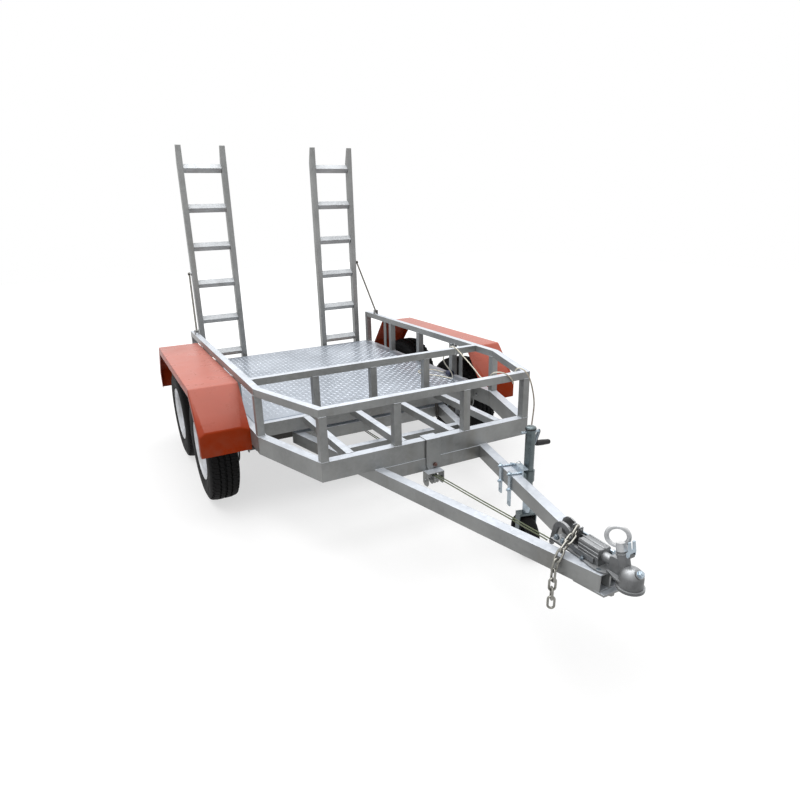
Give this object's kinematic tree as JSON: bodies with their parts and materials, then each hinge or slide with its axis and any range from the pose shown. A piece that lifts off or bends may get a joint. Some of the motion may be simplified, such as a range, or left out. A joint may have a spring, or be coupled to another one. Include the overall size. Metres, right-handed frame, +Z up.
{
  "type": "plant trailer",
  "caption": "Tandem-axle galvanised plant trailer with railings, an open front bay, standing ladder ramps, orange mudguards, an override coupling and a jockey wheel",
  "frame": {"origin": "on the ground under the middle of the trailer's whole length and width", "axes": "+X to the right when seen from the coupling, +Y from the coupling to the ramps, +Z up"},
  "size_m": [2.14, 3.824, 2.205],
  "materials": {
    "galvanised": "dull hot-dip zinc with a fine spangle",
    "orange_paint": "satin orange-red paint on sheet steel",
    "black_steel": "satin black",
    "tyre": "black tyre rubber",
    "silver_wheel": "silver wheel lacquer",
    "cast_zinc": "zinc-plated casting",
    "bright_zinc": "bright zinc plate",
    "grip": "black rubber grip",
    "cable": "olive plastic jacket",
    "lead": "pale plastic sheath",
    "lamp": "red and amber lens on a black base",
    "plug": "dark blue moulded plastic"
  },
  "bodies": {
    "frame": {"deck_plate": "galvanised", "front_beam": "galvanised", "chamfer_beams": "galvanised", "side_beams": "galvanised", "rear_beam": "galvanised", "cross_members": "galvanised", "bucket_joists": "galvanised", "drawbar_rail_left": "galvanised", "drawbar_rail_right": "galvanised", "drawbar_ties": "galvanised", "front_rail": "galvanised", "chamfer_rails": "galvanised", "side_rails": "galvanised", "mid_rail": "galvanised", "railing_posts": "galvanised", "mudguard_left": "orange_paint", "mudguard_right": "orange_paint", "mudguard_brackets": "galvanised", "spring_hangers": "galvanised", "rockers": "galvanised", "leaf_springs": "black_steel", "axles": "black_steel", "coupling_base": "cast_zinc", "brake_arm": "cast_zinc", "handbrake_quadrant": "cast_zinc", "pulley_bracket": "galvanised", "brake_cables": "cable", "safety_chain": "bright_zinc", "jockey_clamp": "bright_zinc", "ramp_lugs": "galvanised", "stay_brackets": "galvanised", "tail_lamps": "lamp", "lead_gland": "grip", "wiring_lead": "lead", "lead_plug": "plug"},
    "wheel_front_left_body": {"tyre_front_left": "tyre", "wheel_front_left": "silver_wheel"},
    "wheel_rear_left_body": {"tyre_rear_left": "tyre", "wheel_rear_left": "silver_wheel"},
    "wheel_front_right_body": {"tyre_front_right": "tyre", "wheel_front_right": "silver_wheel"},
    "wheel_rear_right_body": {"tyre_rear_right": "tyre", "wheel_rear_right": "silver_wheel"},
    "head": {"coupling_head": "cast_zinc"},
    "handle": {"ring_handle": "cast_zinc"},
    "latch": {"coupling_latch": "bright_zinc"},
    "brake_lever": {"handbrake_lever": "bright_zinc"},
    "jockey_outer": {"jockey_tube": "bright_zinc"},
    "jockey_inner": {"jockey_leg": "bright_zinc"},
    "castor": {"jockey_fork": "bright_zinc"},
    "jockey_roller": {"jockey_wheel": "tyre"},
    "crank": {"jockey_crank": "grip"},
    "ramp_left": {"ramp_stiles_left": "galvanised", "ramp_rungs_left": "galvanised"},
    "stay_left_body": {"stay_left": "bright_zinc"},
    "ramp_right": {"ramp_stiles_right": "galvanised", "ramp_rungs_right": "galvanised"},
    "stay_right_body": {"stay_right": "bright_zinc"}
  },
  "joints": [
    {"name": "front_left_spin", "type": "hinge", "parent": "frame", "child": "wheel_front_left_body", "pos_m": [-0.93, 0.513, 0.325], "axis": [1, 0, 0], "continuous": true},
    {"name": "rear_left_spin", "type": "hinge", "parent": "frame", "child": "wheel_rear_left_body", "pos_m": [-0.93, 1.313, 0.325], "axis": [1, 0, 0], "continuous": true},
    {"name": "front_right_spin", "type": "hinge", "parent": "frame", "child": "wheel_front_right_body", "pos_m": [0.93, 0.513, 0.325], "axis": [1, 0, 0], "continuous": true},
    {"name": "rear_right_spin", "type": "hinge", "parent": "frame", "child": "wheel_rear_right_body", "pos_m": [0.93, 1.313, 0.325], "axis": [1, 0, 0], "continuous": true},
    {"name": "override_slide", "type": "slide", "parent": "frame", "child": "head", "axis": [0, 1, 0], "range_m": [0, 0.03]},
    {"name": "handle_lift", "type": "slide", "parent": "head", "child": "handle", "axis": [0, 0.2924, 0.9563], "range_m": [0, 0.012]},
    {"name": "latch_turn", "type": "hinge", "parent": "head", "child": "latch", "pos_m": [0, -1.85268, 0.57468], "axis": [1, 0, 0], "range_deg": [0, 25]},
    {"name": "handbrake_pull", "type": "hinge", "parent": "frame", "child": "brake_lever", "pos_m": [0.038, -1.547, 0.51], "axis": [-1, 0, 0], "range_deg": [0, 80]},
    {"name": "jockey_swing", "type": "hinge", "parent": "frame", "child": "jockey_outer", "pos_m": [0.26163, -0.96193, 0.44], "axis": [-0.9705, 0.241, 0], "range_deg": [0, 90]},
    {"name": "jockey_height", "type": "slide", "parent": "jockey_outer", "child": "jockey_inner", "axis": [0, 0, 1], "range_m": [0, 0.11]},
    {"name": "castor_turn", "type": "hinge", "parent": "jockey_inner", "child": "castor", "pos_m": [0.31404, -0.97494, 0.26], "axis": [0, 0, 1], "continuous": true},
    {"name": "jockey_spin", "type": "hinge", "parent": "castor", "child": "jockey_roller", "pos_m": [0.31404, -0.97494, 0.1075], "axis": [0.9705, -0.241, 0], "continuous": true},
    {"name": "crank_turn", "type": "hinge", "parent": "jockey_outer", "child": "crank", "pos_m": [0.31404, -0.97494, 0.668], "axis": [0.9705, -0.241, 0], "continuous": true},
    {"name": "ramp_left_fold", "type": "hinge", "parent": "frame", "child": "ramp_left", "pos_m": [-0.5275, 1.887, 0.53], "axis": [-1, 0, 0], "range_deg": [0, 107]},
    {"name": "stay_left_swing", "type": "hinge", "parent": "frame", "child": "stay_left_body", "pos_m": [-0.77, 1.62, 0.862], "axis": [1, 0, 0], "range_deg": [0, 118]},
    {"name": "ramp_right_fold", "type": "hinge", "parent": "frame", "child": "ramp_right", "pos_m": [0.5275, 1.887, 0.53], "axis": [-1, 0, 0], "range_deg": [0, 107]},
    {"name": "stay_right_swing", "type": "hinge", "parent": "frame", "child": "stay_right_body", "pos_m": [0.77, 1.62, 0.862], "axis": [1, 0, 0], "range_deg": [0, 118]}
  ]
}
